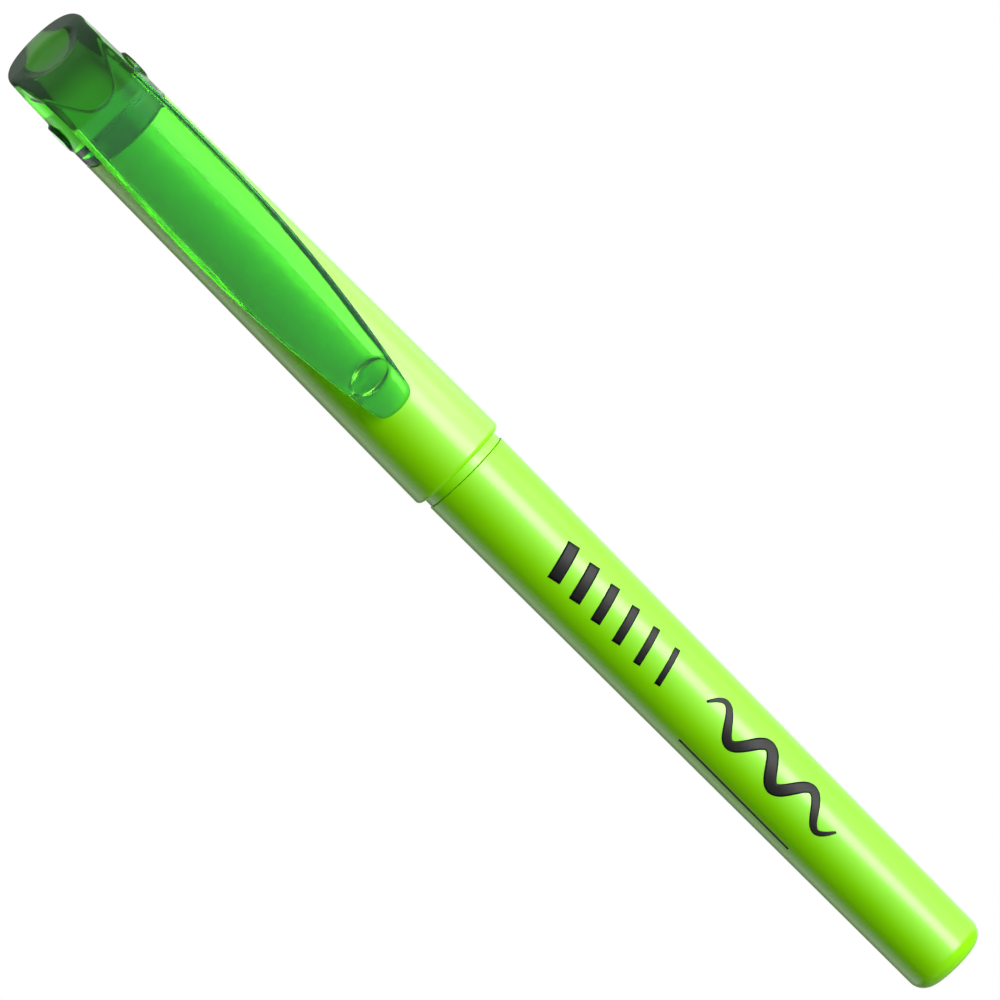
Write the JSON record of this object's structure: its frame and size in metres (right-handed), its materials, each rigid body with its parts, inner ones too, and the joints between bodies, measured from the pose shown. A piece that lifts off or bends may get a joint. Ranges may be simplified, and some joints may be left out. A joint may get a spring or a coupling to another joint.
{
  "type": "capped highlighter",
  "caption": "Slim capped highlighter: tapered round barrel, chisel nib in a stepped nose, pull-off cap with a clear crown and a wide flexible pocket clip.",
  "frame": {"origin": "centre of the flat face at the tail of the barrel, on the pen's axis", "axes": "+Z along the pen's axis from the tail to the crown of the cap, -Y the way the clip faces, +X across the clip"},
  "size_m": [0.0118, 0.0144, 0.138],
  "materials": {
    "gloss_green": "bright yellow-green moulded polypropylene, glossy and opaque",
    "clear_green": "transparent emerald green moulded plastic, glossy",
    "liner_green": "pale green moulded polypropylene, unpolished",
    "nib_felt": "bonded polyester felt soaked in fluorescent green ink",
    "ink_fibre": "bundle of fine fibres soaked in fluorescent green ink",
    "wrap_film": "thin clear plastic film",
    "print_black": "thin black printing ink on the barrel, satin"
  },
  "bodies": {
    "barrel": {"barrel": "gloss_green", "front_section": "gloss_green", "nib": "nib_felt", "reservoir_core": "ink_fibre", "reservoir_film": "wrap_film"},
    "cap": {"cap_sleeve": "gloss_green", "inner_cap": "liner_green", "crown": "clear_green"},
    "clip": {"clip_arm": "clear_green"}
  },
  "joints": [
    {"name": "cap_pull", "type": "slide", "parent": "barrel", "child": "cap", "axis": [0, 0, 1], "range_m": [0, 0.045]},
    {"name": "clip_flex", "type": "hinge", "parent": "cap", "child": "clip", "pos_m": [0, -0.0078, 0.12745], "axis": [-1, 0, 0], "range_deg": [0, 5], "stiffness_Nm_per_rad": 0.5}
  ]
}
